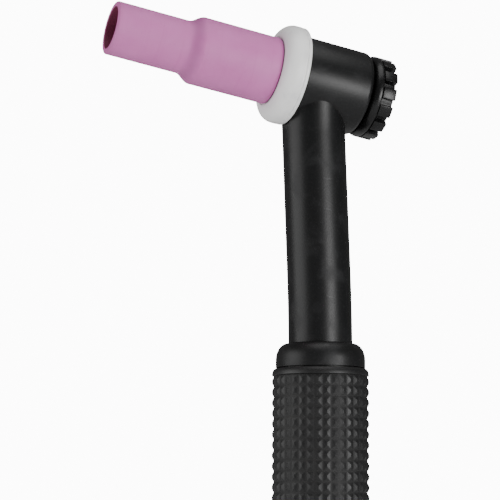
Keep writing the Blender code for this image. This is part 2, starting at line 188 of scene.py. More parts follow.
def select_faces(obj: Piece, wanted: Callable[[Vector], bool]) -> None:
    """Selects some of an object's faces, and nothing else on it.

    Args:
        obj: the object.
        wanted: the test that the centre of a selected face passes.
    """
    for part in (obj.data.vertices, obj.data.edges, obj.data.polygons):
        part.foreach_set("select", [False] * len(part))
    for face in obj.data.polygons:
        face.select = wanted(face.center)
    obj.data.update()


def apply_modifier(obj: Piece, kind: str, **settings: object) -> None:
    """Adds a modifier and applies it.

    Args:
        obj: the object that it shapes.
        kind: the modifier's type.
        settings: its properties.
    """
    modifier = obj.modifiers.new(kind.lower(), kind)
    for key, value in settings.items():
        setattr(modifier, key, value)
    select_only(obj)
    bpy.ops.object.modifier_apply(modifier=modifier.name)


def combine(obj: Piece, other: Piece, how: Cut = Cut.REMOVE) -> None:
    """Cuts, joins or intersects the object with another one, which is used up."""
    apply_modifier(obj, "BOOLEAN", object=other, operation=how.value, solver="EXACT")
    bpy.data.objects.remove(other)


def break_edges(obj: Piece, width: float, segments: int = 2, angle: float = 30) -> None:
    """Rounds every corner sharper than an angle in degrees."""
    apply_modifier(obj, "BEVEL", width=width, segments=segments, limit_method="ANGLE",
                   angle_limit=math.radians(angle), use_clamp_overlap=True)


def place(obj: Piece, axis: Axis) -> None:
    """Moves a finished mesh from its axis's coordinates to the frame's."""
    select_only(obj)
    obj.matrix_world = axis.matrix()
    settle()


class Outline:
    """A turned piece's half section: radii and heights, down the outside and back up the bore."""

    def __init__(self, radius: float, height: float) -> None:
        """Starts the outline at its highest point."""
        self.points = [(radius, height)]

    def to(self, radius: float, height: float) -> "Outline":
        """Draws a straight line."""
        self.points.append((radius, height))
        return self

    def line(self, *points: tuple[float, float]) -> "Outline":
        """Draws straight lines through several points."""
        self.points.extend(points)
        return self

    def corner(self, radius: float, height: float, leave: Leave, steps: int = 8) -> "Outline":
        """Draws a quarter of an ellipse.

        Args:
            radius: where it ends.
            height: where it ends.
            leave: the direction that it sets off in.
            steps: its number of segments.

        Returns:
            The outline itself.
        """
        first_radius, first_height = self.points[-1]
        for step in range(1, steps + 1):
            angle = math.pi / 2 * step / steps
            fast, slow = math.sin(angle), 1 - math.cos(angle)
            across, along = (fast, slow) if leave is Leave.OUTWARD else (slow, fast)
            self.to(first_radius + (radius - first_radius) * across,
                    first_height + (height - first_height) * along)
        return self

    def shoulder(self, radius: float, height: float, width: float, depth: float, steps: int) -> "Outline":
        """Draws the rounded edge at the top of a wall.

        Args:
            radius: the wall's radius.
            height: the height that the edge is rounded down from.
            width: how far the rounding reaches in.
            depth: how far it reaches down.
            steps: its number of segments.

        Returns:
            The outline itself.
        """
        return self.to(radius - width, height).corner(radius, height - depth, Leave.OUTWARD, steps)

    def heel(self, radius: float, height: float, size: float, steps: int) -> "Outline":
        """Draws a wall down to its rounded lower edge.

        Args:
            radius: the wall's radius.
            height: where it ends.
            size: the rounding's radius.
            steps: its number of segments.

        Returns:
            The outline itself.
        """
        return self.to(radius, height + size).corner(radius - size, height, Leave.ALONG, steps)

    def ease(self, radius: float, height: float, steps: int = 14) -> "Outline":
        """Draws a soft step, which leaves and arrives along the axis.

        Args:
            radius: where it ends.
            height: where it ends.
            steps: its number of segments.

        Returns:
            The outline itself.
        """
        first_radius, first_height = self.points[-1]
        for step in range(1, steps + 1):
            share = step / steps
            blend = (1 - math.cos(math.pi * share)) / 2
            self.to(first_radius + (radius - first_radius) * blend,
                    first_height + (height - first_height) * share)
        return self

    def rows(self, height: float, spacing: float) -> "Outline":
        """Draws a line along the axis with many points, for a thread or a pattern.

        Args:
            height: where it ends.
            spacing: about how far apart its points are.

        Returns:
            The outline itself.
        """
        radius, start = self.points[-1]
        count = max(1, round(abs(height - start) / spacing))
        for step in range(1, count + 1):
            self.to(radius, start + (height - start) * step / count)
        return self

    def turn(self, name: str, steps: int) -> Piece:
        """Spins the outline about Z.

        Args:
            name: the new object's name.
            steps: the number of sides round the axis.

        Returns:
            The turned piece, still in its axis's coordinates.
        """
        points = [Vector((radius, 0, height)) for radius, height in self.points]
        if self.points[0][0] > 0:
            points.append(points[0].copy())
        obj = add(name, bpy.ops.mesh.primitive_plane_add, size=MM, location=points[0])

        def draw() -> None:
            """Extrudes one point along the outline and spins it."""
            bpy.ops.mesh.select_all(action="SELECT")
            bpy.ops.mesh.merge(type="CENTER")
            for last, following in zip(points, points[1:]):
                bpy.ops.mesh.extrude_region_move(TRANSFORM_OT_translate={"value": following - last})
            bpy.ops.mesh.select_all(action="SELECT")
            bpy.ops.mesh.spin(steps=steps, angle=FULL_TURN, center=(0, 0, 0), axis=(0, 0, 1))
            close_up()

        in_edit_mode(obj, draw)
        widest = max(obj.data.polygons, key=lambda face: face.center.xy.length)
        if widest.normal.xy.dot(widest.center.xy) < 0:
            obj.data.flip_normals()
        return obj


def cylinder(name: str, radius: float, bottom: float, top: float, sides: int = 64) -> Piece:
    """Adds a closed cylinder about Z, for cutting or joining."""
    return add(name, bpy.ops.mesh.primitive_cylinder_add, vertices=sides, radius=radius,
               depth=top - bottom, location=(0, 0, (top + bottom) / 2))


@dataclass(frozen=True)
class Thread:
    """A screw thread cut into a turned surface.

    Args:
        bottom: the lowest height that it reaches.
        top: the highest height that it reaches.
        radius: the surface that it is cut in.
        pitch: its advance in one turn.
        depth: from crest to root.
        reach: how far from that surface a point is still cut.
        run_out: how many turns it takes to reach its full depth at each end.
    """

    bottom: float
    top: float
    radius: float
    pitch: float
    depth: float
    reach: float = 0.2 * MM
    run_out: float = 0.6

    def cut(self, obj: Piece) -> None:
        """Sinks a right-handed V groove into the rows of points on that surface.

        Args:
            obj: the turned piece, still in its axis's coordinates.
        """
        run_out = self.run_out * self.pitch
        for vertex in obj.data.vertices:
            x, y, height = vertex.co
            radius = math.hypot(x, y)
            inside = min(height - self.bottom, self.top - height)
            if inside <= 0 or abs(radius - self.radius) > self.reach:
                continue
            phase = (height / self.pitch - math.atan2(y, x) / FULL_TURN) % 1.0
            groove = 1 - abs(2 * phase - 1)
            sunk = self.depth * groove * min(1.0, inside / run_out)
            vertex.co.x *= (radius - sunk) / radius
            vertex.co.y *= (radius - sunk) / radius
        obj.data.update()


@dataclass(frozen=True)
class NeckLine:
    """The neck's centre line: straight up the handle, a long bend, then straight to the head.

    Args:
        bend_start: the height where the bend starts.
        bend_radius: the bend's radius.
        lean: the angle at its end, in radians.
        reach: the distance along it from the bend's start to the head's centre.
        radius: the neck's radius outside.
        swell: how much deeper than it is wide the neck becomes, to each side.
        swell_start: how far below the head's centre that starts.
        swell_end: how far below the head's centre it is complete.
        swell_power: how late it comes, from 1 for an even taper.
    """

    bend_start: float = 124.0 * MM
    bend_radius: float = 648.0 * MM
    lean: float = math.radians(2.3)
    reach: float = 79.9 * MM
    radius: float = 8.9 * MM
    swell: float = 0.7 * MM
    swell_start: float = 16.0 * MM
    swell_end: float = 6.5 * MM
    swell_power: float = 1.5

    def point(self, along: float) -> Vector:
        """Finds a point of the line.

        Args:
            along: its distance from the bend's start, negative down the handle.

        Returns:
            The point in the frame's coordinates.
        """
        bend = self.bend_radius * self.lean
        angle = max(0.0, min(along / self.bend_radius, self.lean))
        straight = along - bend if along > bend else min(along, 0.0)
        curved = Vector((math.cos(angle) - 1, 0, math.sin(angle))) * self.bend_radius
        ahead = Vector((-math.sin(angle), 0, math.cos(angle))) * straight
        return Vector((0, 0, self.bend_start)) + curved + ahead

    def deepen(self, obj: Piece) -> None:
        """Deepens a rod's upper end, so that it meets the head in a crisp arch.

        Args:
            obj: the rod, which is left in triangles because its deepened quads aren't flat.
        """
        start = self.point(self.reach).z - self.swell_start
        for vertex in obj.data.vertices:
            rise = min(max((vertex.co.z - start) / (self.swell_start - self.swell_end), 0.0), 1.0)
            vertex.co.y *= 1 + self.swell / self.radius * rise ** self.swell_power

        def triangulate() -> None:
            """Splits every face."""
            bpy.ops.mesh.select_all(action="SELECT")
            bpy.ops.mesh.quads_convert_to_tris()

        in_edit_mode(obj, triangulate)

    def rod(self, name: str, radius: float, bottom: float, short_of_head: float,
            sides: int = 96) -> Piece:
        """Makes a closed round rod along the line.

        Args:
            name: the new object's name.
            radius: the rod's radius.
            bottom: the height of its lower end.
            short_of_head: how far from the head's centre it ends.
            sides: the number of sides round it, a multiple of four.

        Returns:
            The rod as a mesh.
        """
        first, last = bottom - self.bend_start, self.reach - short_of_head
        bend = self.bend_radius * self.lean
        start = self.reach - self.swell_start
        bend_steps, end_steps = 12, 14
        reaches = [first] + [bend * step / bend_steps for step in range(bend_steps + 1)]
        reaches += [start + (last - start) * step / end_steps for step in range(end_steps + 1)]
        curve = bpy.data.curves.new(name, "CURVE")
        curve.dimensions = "3D"
        curve.bevel_depth = radius
        curve.bevel_resolution = sides // 4 - 1
        curve.use_fill_caps = True
        spline = curve.splines.new("POLY")
        spline.points.add(len(reaches) - 1)
        for point, along in zip(spline.points, reaches):
            point.co = (*self.point(along), 1.0)
        obj = bpy.data.objects.new(name, curve)
        bpy.context.scene.collection.objects.link(obj)
        select_only(obj)
        bpy.ops.object.convert(target="MESH")
        in_edit_mode(obj, close_up)
        return obj

    def axis(self) -> Axis:
        """Returns the axis down the neck from the head's centre."""
        return Axis(HEAD.origin, Vector((math.sin(self.lean), 0, -math.cos(self.lean))))


NECK = NeckLine()


# ---------------------------------------------------------------- shader shorthand


class Value:
    """A shader socket that takes part in sums and products."""

    def __init__(self, recipe: "Recipe", socket: bpy.types.NodeSocket) -> None:
        """Wraps an output socket."""
        self.recipe = recipe
        self.socket = socket

    def __add__(self, other: "Value | float") -> "Value":
        """Returns the sum."""
        return self.recipe.maths("ADD", self, other)

    def __sub__(self, other: "Value | float") -> "Value":
        """Returns the difference."""
        return self.recipe.maths("SUBTRACT", self, other)

    def __rsub__(self, other: float) -> "Value":
        """Returns a number less this."""
        return self.recipe.maths("SUBTRACT", other, self)

    def __mul__(self, other: "Value | float") -> "Value":
        """Returns the product."""
        return self.recipe.maths("MULTIPLY", self, other)

    def __truediv__(self, other: "Value | float") -> "Value":
        """Returns the quotient."""
        return self.recipe.maths("DIVIDE", self, other)

    def __pow__(self, other: "Value | float") -> "Value":
        """Returns the power."""
        return self.recipe.maths("POWER", self, other)

    __radd__ = __add__
    __rmul__ = __mul__


class Recipe:
    """One material's nodes, and the shorthand that fills them."""

    def __init__(self, name: str, axis: Axis) -> None:
        """Starts a material whose patterns follow a turning axis.

        Args:
            name: the material's name.
            axis: the axis that the pieces wearing it are turned about.
        """
        self.material = bpy.data.materials.new(name)
        self.material.use_nodes = True
        self.tree = self.material.node_tree
        self.shader = self.tree.nodes["Principled BSDF"]
        coordinates = self.node("ShaderNodeTexCoord").outputs["Object"]
        turn = axis.matrix().to_euler()
        mapping = self.node("ShaderNodeMapping", {"vector_type": "TEXTURE"}, {
            "Vector": Value(self, coordinates), "Location": axis.origin, "Rotation": turn})
        self.place = Value(self, mapping.outputs["Vector"])
        parts = self.node("ShaderNodeSeparateXYZ", {}, {"Vector": self.place})
        self.x, self.y, self.height = (Value(self, parts.outputs[key]) for key in "XYZ")
        self.radius = (self.x * self.x + self.y * self.y) ** 0.5

    def node(self, kind: str, settings: dict | None = None, sockets: dict | None = None) -> bpy.types.Node:
        """Adds any node.

        Args:
            kind: the node's type.
            settings: its properties, and "stops" for a ramp's places and colours.
            sockets: values or links for its inputs, by name or number.

        Returns:
            The new node.
        """
        made = self.tree.nodes.new(kind)
        for key, value in (settings or {}).items():
            if key == "stops":
                self.fill_ramp(made.color_ramp, value)
            else:
                setattr(made, key, value)
        for key, value in (sockets or {}).items():
            if isinstance(value, Value):
                self.tree.links.new(value.socket, made.inputs[key])
            else:
                made.inputs[key].default_value = value
        return made

    @staticmethod
    def fill_ramp(ramp: bpy.types.ColorRamp, stops: list[tuple[float, Colour]]) -> None:
        """Gives a ramp its stops, as places from 0 to 1 and colours."""
        while len(ramp.elements) < len(stops):
            ramp.elements.new(1.0)
        for element, (position, colour) in zip(ramp.elements, stops):
            element.position = position
            element.color = (*colour, 1.0)

    def maths(self, operation: str, first: Value | float, second: Value | float) -> Value:
        """Returns one step of arithmetic."""
        made = self.node("ShaderNodeMath", {"operation": operation}, {0: first, 1: second})
        return Value(self, made.outputs[0])

    def noise(self, size: float, detail: float = 3.0, stretch: Colour = (1.0, 1.0, 1.0),
              distortion: float = 0.0) -> Value:
        """Returns cloudy noise.

        Args:
            size: the size of its largest blots.
            detail: how many finer layers it has.
            stretch: scale of the pattern across X, Y and the axis.
            distortion: how much it swirls.

        Returns:
            The noise, around 0.5.
        """
        moved = self.node("ShaderNodeMapping", {"vector_type": "POINT"}, {
            "Vector": self.place, "Scale": stretch})
        made = self.node("ShaderNodeTexNoise", {}, {
            "Vector": Value(self, moved.outputs[0]), "Scale": 1 / size, "Detail": detail,
            "Distortion": distortion})
        return Value(self, made.outputs[0])

    def fade(self, value: Value, low: float, high: float) -> Value:
        """Returns 0 below one value and 1 above the other, with a smooth change between."""
        made = self.node("ShaderNodeMapRange", {"interpolation_type": "SMOOTHSTEP"}, {
            "Value": value, "From Min": low, "From Max": high, "To Min": 0.0, "To Max": 1.0})
        return Value(self, made.outputs["Result"])

    def band(self, value: Value, centre: float, width: float) -> Value:
        """Returns 1 at the centre, falling to 0 a width away on each side."""
        return self.fade(value, centre - width, centre) * (1 - self.fade(value, centre, centre + width))

    def mix(self, first: Value | Colour, second: Value | Colour, share: Value | float) -> Value:
        """Returns a blend of two colours."""
        ends = [end if isinstance(end, Value) else (*end, 1.0) for end in (first, second)]
        made = self.node("ShaderNodeMix", {"data_type": "RGBA"}, {0: share, 6: ends[0], 7: ends[1]})
        return Value(self, made.outputs[2])

    def ramp(self, value: Value, stops: list[tuple[float, Colour]]) -> Value:
        """Returns a colour from a ramp."""
        made = self.node("ShaderNodeValToRGB", {"stops": stops}, {0: value})
        return Value(self, made.outputs[0])

    def bump(self, height: Value, distance: float, strength: float = 1.0) -> None:
        """Raises the surface by a pattern, in metres at its full value."""
        made = self.node("ShaderNodeBump", {}, {"Height": height, "Distance": distance,
                                               "Strength": strength})
        self.tree.links.new(made.outputs[0], self.shader.inputs["Normal"])

    def set(self, **sockets: Value | float | Colour) -> None:
        """Fills the shader's sockets, named with underscores for spaces."""
        for key, value in sockets.items():
            socket = self.shader.inputs[key.replace("_", " ")]
            if isinstance(value, Value):
                self.tree.links.new(value.socket, socket)
            else:
                socket.default_value = (*value, 1.0) if isinstance(value, tuple) else value


# ---------------------------------------------------------------- finishes


class Finish(Protocol):
    """Anything that makes a material."""

    def material(self) -> Material:
        """Returns the material."""


@dataclass(frozen=True)
class FiredAlumina:
    """Pink fired alumina: matte and faintly speckled, with scorch round the mouth; the bore is darkened by
    scorch and painted shade, and the step by painted shade.
    """

    mouth: float
    bore_radius: float
    colour: Colour = (0.53, 0.142, 0.385)
    pale: Colour = (0.57, 0.165, 0.42)
    deep: Colour = (0.42, 0.105, 0.30)
    # scorch at the mouth's lip; in the bore this colour is scorch plus painted shade
    scorch_and_bore_shade: Colour = (0.17, 0.014, 0.048)
    # painted shade: a darker pink for the band round the step, standing in for the shade on the step's slope
    step_shade: Colour = (0.34, 0.10, 0.26)

    def material(self) -> Material:
        """Returns the material."""
        recipe = Recipe("fired_alumina", HEAD)
        cloud = recipe.fade(recipe.noise(9 * MM, 4.0), 0.35, 0.68)
        grain = recipe.noise(0.22 * MM, 2.0)
        speck = recipe.fade(recipe.noise(0.5 * MM, 1.0), 0.70, 0.78)
        rings = recipe.noise(1.3 * MM, 2.0, (0.05, 0.05, 1.0))
        body = recipe.mix(self.colour, self.pale, cloud * 0.8)
        body = recipe.mix(body, self.deep, recipe.fade(rings, 0.55, 0.75) * 0.12 + speck * 0.5)
        # painted shade on the step: the band is darkened where the slope turns away from the light
        step = recipe.band(recipe.height, self.mouth - 22.6 * MM, 2.6 * MM)
        body = recipe.mix(body, self.step_shade, step * 0.55)
        # the bore is darkened partly by scorch and partly by painted shade, standing in for the shade that
        # falls inside it
        inside = 1 - recipe.fade(recipe.radius, self.bore_radius + 0.02 * MM, self.bore_radius + 0.2 * MM)
        lip = recipe.fade(recipe.height + grain * (1.2 * MM), self.mouth - 1.0 * MM, self.mouth + 1.0 * MM)
        body = recipe.mix(body, self.scorch_and_bore_shade, inside * 0.93 + lip * (1 - inside) * 0.16)
        recipe.set(Base_Color=body, Roughness=0.50 + grain * 0.18 - speck * 0.1,
                   Specular_IOR_Level=0.42)
        recipe.bump(grain * 0.6 + rings * 0.2, 0.05 * MM, 0.5)
        return recipe.material


@dataclass(frozen=True)
class TurnedFluoropolymer:
    """White fluoropolymer, turned smooth, a little greyed where hands have been."""

    colour: Colour = (0.86, 0.86, 0.85)
    grey: Colour = (0.66, 0.66, 0.67)

    def material(self) -> Material:
        """Returns the material."""
        recipe = Recipe("white_fluoropolymer", HEAD)
        cloud = recipe.fade(recipe.noise(6 * MM, 5.0, distortion=0.6), 0.52, 0.78)
        rings = recipe.noise(0.25 * MM, 2.0, (0.02, 0.02, 1.0))
        speck = recipe.fade(recipe.noise(0.45 * MM, 1.0), 0.72, 0.8)
        body = recipe.mix(self.colour, self.grey, cloud * 0.6 + speck * 0.5)
        recipe.set(Base_Color=body, Roughness=0.34 + cloud * 0.16 + rings * 0.1)
        recipe.bump(rings + recipe.noise(1.6 * MM, 2.0) * 0.4, 0.02 * MM, 0.6)
        return recipe.material


@dataclass(frozen=True)
class SatinMoulding:
    """Black moulded plastic with a fine peel, hazy rub marks and a few light scratches."""

    name: str
    axis: Axis
    roughness: float = 0.40
    colour: Colour = (0.0055, 0.0055, 0.0058)
    rubbed: Colour = (0.015, 0.015, 0.016)
    peel: float = 0.35 * MM

    def material(self) -> Material:
        """Returns the material."""
        recipe = Recipe(self.name, self.axis)
        haze = recipe.fade(recipe.noise(7 * MM, 5.0, distortion=0.4), 0.46, 0.74)
        peel = recipe.noise(self.peel, 2.0)
        scratch = recipe.fade(recipe.noise(1.1 * MM, 2.0, (1.0, 1.0, 0.06), 1.5), 0.69, 0.72)
        dust = recipe.fade(recipe.noise(0.3 * MM, 1.0), 0.72, 0.8)
        body = recipe.mix(self.colour, self.rubbed, haze * 0.55 + scratch * 0.3 + dust * 0.35)
        recipe.set(Base_Color=body,
                   Roughness=self.roughness + haze * 0.12 + peel * 0.08 - scratch * 0.06,
                   Specular_IOR_Level=0.25)
        recipe.bump(peel + scratch * -0.5, 0.022 * MM, 0.55)
        return recipe.material


@dataclass(frozen=True)
class GripRubber:
    """Black rubber: the pyramids' tips polished by the hand, with dust left in the grooves."""

    root: float
    tip: float
    colour: Colour = (0.0052, 0.0052, 0.0055)
    dusty: Colour = (0.015, 0.0145, 0.014)
    polished: Colour = (0.011, 0.011, 0.0115)

    def material(self) -> Material:
        """Returns the material."""
        recipe = Recipe("grip_rubber", HANDLE)
        patch = recipe.fade(recipe.noise(14 * MM, 4.0), 0.40, 0.70)
        grain = recipe.noise(0.18 * MM, 2.0)
        low = 1 - recipe.fade(recipe.radius, self.root, self.root + 0.2 * MM)
        high = recipe.fade(recipe.radius, self.tip - 0.16 * MM, self.tip)
        body = recipe.mix(self.colour, self.dusty, low * patch * 0.5)
        body = recipe.mix(body, self.polished, high)
        recipe.set(Base_Color=body, Roughness=0.40 + grain * 0.12 + low * 0.15 - high * patch * 0.08,
                   Specular_IOR_Level=0.36)
        recipe.bump(grain, 0.02 * MM, 0.5)
        return recipe.material


@dataclass(frozen=True)
class TurnedMetal:
    """Bare turned metal with tool rings, dulled and spotted by age."""

    name: str
    axis: Axis
    colour: Colour
    tarnish: Colour
    roughness: float = 0.26

    def material(self) -> Material:
        """Returns the material."""
        recipe = Recipe(self.name, self.axis)
        rings = recipe.noise(0.14 * MM, 2.0, (0.02, 0.02, 1.0))
        cloud = recipe.fade(recipe.noise(4 * MM, 5.0, distortion=0.8), 0.42, 0.72)
        spots = recipe.fade(recipe.noise(0.6 * MM, 2.0), 0.64, 0.74)
        body = recipe.mix(self.colour, self.tarnish, cloud * 0.6 + spots * 0.4)
        recipe.set(Base_Color=body, Metallic=1.0,
                   Roughness=self.roughness + cloud * 0.16 + rings * 0.12 + spots * 0.1)
        recipe.bump(rings, 0.012 * MM, 0.6)
        return recipe.material


@dataclass(frozen=True)
class GroundTungsten:
    """Centreless-ground tungsten, with a lengthwise-ground point and the colours of heat above it."""

    tip: float
    ground: float

    def material(self) -> Material:
        """Returns the material."""
        recipe = Recipe("ground_tungsten", HEAD)
        span = 14 * MM
        along = (recipe.height - (self.tip - span)) / span + recipe.noise(2 * MM) * 0.06
        tint = recipe.ramp(along, [(0.0, (0.30, 0.30, 0.31)), (0.35, (0.42, 0.33, 0.19)),
                                   (0.5, (0.25, 0.14, 0.26)), (0.62, (0.12, 0.17, 0.33)),
                                   (0.8, (0.36, 0.36, 0.36)), (1.0, (0.20, 0.20, 0.20))])
        rings = recipe.noise(0.12 * MM, 2.0, (0.05, 0.05, 1.0))
        lines = recipe.noise(0.12 * MM, 2.0, (1.0, 1.0, 0.04))
        point = recipe.fade(recipe.height, self.tip - self.ground, self.tip - self.ground + 0.2 * MM)
        recipe.set(Base_Color=tint, Metallic=1.0, Roughness=0.28 + rings * 0.14 + point * 0.1)
        recipe.bump(rings * (1 - point) + lines * point, 0.012 * MM, 0.7)
        return recipe.material


@dataclass(frozen=True)
class SealRubber:
    """Black O-ring rubber with a film of grease."""

    def material(self) -> Material:
        """Returns the material."""
        recipe = Recipe("seal_rubber", HEAD)
        grease = recipe.fade(recipe.noise(2.5 * MM, 3.0), 0.42, 0.66)
        grain = recipe.noise(0.15 * MM, 2.0)
        body = recipe.mix((0.010, 0.010, 0.010), (0.022, 0.021, 0.020), grain)
        recipe.set(Base_Color=body, Roughness=0.55 - grease * 0.3 + grain * 0.06)
        recipe.bump(grain, 0.01 * MM, 0.5)
        return recipe.material


BRASS: tuple[Colour, Colour] = ((0.66, 0.47, 0.20), (0.33, 0.20, 0.08))
COPPER: tuple[Colour, Colour] = ((0.74, 0.37, 0.23), (0.34, 0.15, 0.09))


# ---------------------------------------------------------------- sub-assemblies


def dress(obj: Piece, finish: Finish, body: Body, slot: str, *nodes: str,
          smooth_angle: float = SMOOTH_ANGLE) -> Piece:
    """Finishes a piece: smooth shading, its material, its body and the nodes that it stands for.

    Args:
        obj: the piece, in the frame's coordinates.
        finish: what its material is made by.
        body: the body that it moves with.
        slot: the record's material slot; not used.
        nodes: the CAD nodes that it replaces.
        smooth_angle: the sharpest edge that is still shaded smooth.

    Returns:
        The piece.
    """
    select_only(obj)
    bpy.ops.object.shade_smooth_by_angle(angle=smooth_angle)
    obj.data.materials.clear()
    obj.data.materials.append(finish.material())
    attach(obj, body.value)
    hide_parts(*nodes)
    log.info("%s: %d faces on %s", obj.name, len(obj.data.polygons), body.value)
    return obj


@dataclass
class Handle:
    """The handle's core tube with its collar, and the textured sleeve over it."""

    length: float = 129.6 * MM
    bore: float = 10.2 * MM
    bore_top: float = 104.0 * MM
    guide: float = 9.2 * MM
    core: float = 11.5 * MM
    collar: float = 12.45 * MM
    collar_bottom: float = 122.9 * MM
    shoulder_width: float = 3.1 * MM
    shoulder_height: float = 4.6 * MM
    flange: float = 13.3 * MM
    flange_thickness: float = 2.2 * MM
    grip_tip: float = 13.52 * MM
    grip_root: float = 12.98 * MM
    grip_band: float = 13.5 * MM
    grip_bore: float = 11.8 * MM
    crown_width: float = 0.95 * MM
    crown_height: float = 1.9 * MM
    band: float = 1.9 * MM
    columns: int = 36
    rows: int = 40
    groove: float = 0.07 * MM
    heel: float = 0.6 * MM

    def make_core(self) -> Piece:
        """Turns the tube, with its round-shouldered collar and the rear flange."""
        chamfer, edge, flange_edge, mouth = 0.3 * MM, 0.12 * MM, 0.2 * MM, 0.5 * MM
        line = Outline(self.guide + chamfer, self.length)
        line.shoulder(self.collar, self.length, self.shoulder_width, self.shoulder_height, 16)
        line.heel(self.collar, self.collar_bottom, edge, 4)
        line.line((self.core, self.collar_bottom), (self.core, self.flange_thickness))
        line.shoulder(self.flange, self.flange_thickness, flange_edge, flange_edge, 4)
        line.heel(self.flange, 0.0, self.heel, 6)
        line.line((self.bore + mouth, 0.0), (self.bore, mouth), (self.bore, self.bore_top),
                  (self.guide, self.bore_top + 1.1 * MM), (self.guide, self.length - chamfer))
        obj = line.turn("handle_core_tube", 144)
        return dress(obj, SatinMoulding("handle_moulding", HANDLE, 0.36),
                     Body.HANDLE, "handle_plastic", "handle_core")

    def make_grip(self) -> Piece:
        """Turns the sleeve with one face for each cell, then raises a pyramid on every cell."""
        top = self.collar_bottom - GAP
        bottom = self.flange_thickness + GAP
        field_top, field_bottom = top - self.band, bottom + self.band
        chamfer, shelf = 0.4 * MM, 0.2 * MM
        line = Outline(self.grip_bore + chamfer, top)
        line.shoulder(self.grip_band, top, self.crown_width, self.crown_height, 8)
        line.line((self.grip_band, field_top), (self.grip_root, field_top - shelf))
        line.rows(field_bottom + shelf, (field_top - field_bottom) / self.rows)
        line.to(self.grip_band, field_bottom).heel(self.grip_band, bottom, self.heel, 5)
        line.line((self.grip_bore, bottom), (self.grip_bore, top - chamfer))
        obj = line.turn("pyramid_grip", self.columns)
        middle = (self.grip_root + self.grip_bore) / 2

        def on_field(centre: Vector) -> bool:
            """Tells whether a face is a cell of the pattern."""
            level = field_bottom + 0.3 * MM < centre.z < field_top - 0.3 * MM
            return level and centre.xy.length > middle

        select_faces(obj, on_field)
        cell = FULL_TURN * self.grip_root / self.columns
        slope = cell / 2 - self.groove - 0.05 * MM

        def raise_pyramids() -> None:
            """Insets each cell for its groove, then draws its middle up to a tip."""
            bpy.ops.mesh.inset(thickness=self.groove, use_individual=True)
            bpy.ops.mesh.inset(thickness=slope, depth=self.grip_tip - self.grip_root, use_individual=True)

        in_edit_mode(obj, raise_pyramids)
        break_edges(obj, 0.06 * MM, 1, 22)
        return dress(obj, GripRubber(self.grip_root, self.grip_tip),
                     Body.HANDLE, "grip_rubber", "handle_grip")


@dataclass
class CableAdapter:
    """The brass fitting on the neck tube's lower end."""

    top: float = 92.0 * MM
    socket: float = 6.2 * MM
    socket_floor: float = 78.0 * MM
    hex_top: float = 80.0 * MM
    hex_bottom: float = 73.0 * MM
    across_flats: float = 14.3 * MM
    bottom: float = 60.0 * MM
    nipple: float = 4.75 * MM
    gas_bore: float = 2.5 * MM
    thread_pitch: float = 1.06 * MM

    def make(self) -> Piece:
        """Turns the body and its nipple, joins the chamfered hexagon and cuts the thread."""
        tube = 4.3 * MM
        lip, edge, entry = 0.2 * MM, 0.5 * MM, 0.8 * MM
        relief = self.nipple - 0.4 * MM
        thread_top = self.hex_bottom - 1.2 * MM
        line = Outline(tube + lip, self.top).shoulder(self.socket, self.top, edge, edge, 4)
        line.line((self.socket, self.hex_bottom + MM), (relief, self.hex_bottom + MM),
                  (relief, self.hex_bottom - 0.8 * MM), (self.nipple, thread_top))
        line.rows(self.bottom + entry, self.thread_pitch / 8)
        line.line((self.nipple - entry, self.bottom), (self.gas_bore + lip, self.bottom),
                  (self.gas_bore, self.bottom + lip), (self.gas_bore, self.socket_floor),
                  (tube, self.socket_floor), (tube, self.top - lip))
        obj = line.turn("brass_adapter", 96)
        Thread(self.bottom, thread_top, self.nipple, self.thread_pitch, 0.5 * MM).cut(obj)
        corner = self.across_flats / 2 / math.cos(math.pi / 6)
        hexagon = cylinder("hexagon", corner, self.hex_bottom, self.hex_top, 6)
        chamfer = 0.6 * MM
        flat = self.across_flats / 2
        beyond = corner + 0.2 * MM
        barrel = Outline(0.0, self.hex_top + MM).to(flat, self.hex_top + MM)
        barrel.line((flat, self.hex_top), (beyond, self.hex_top - chamfer),
                    (beyond, self.hex_bottom + chamfer), (flat, self.hex_bottom),
                    (flat, self.hex_bottom - MM), (0.0, self.hex_bottom - MM))
        combine(hexagon, barrel.turn("hexagon_chamfer", 96), Cut.KEEP)
        combine(hexagon, cylinder("hexagon_hole", self.socket - 0.4 * MM, self.hex_bottom + 0.5 * MM,
                                  self.hex_top + MM))
        combine(hexagon, cylinder("hexagon_eye", self.nipple - 0.6 * MM, self.hex_bottom - MM,
                                  self.hex_top))
        combine(obj, hexagon, Cut.ADD)
        return dress(obj, TurnedMetal("adapter_brass", HANDLE, *BRASS), Body.TORCH, "brass", "cable_adapter")


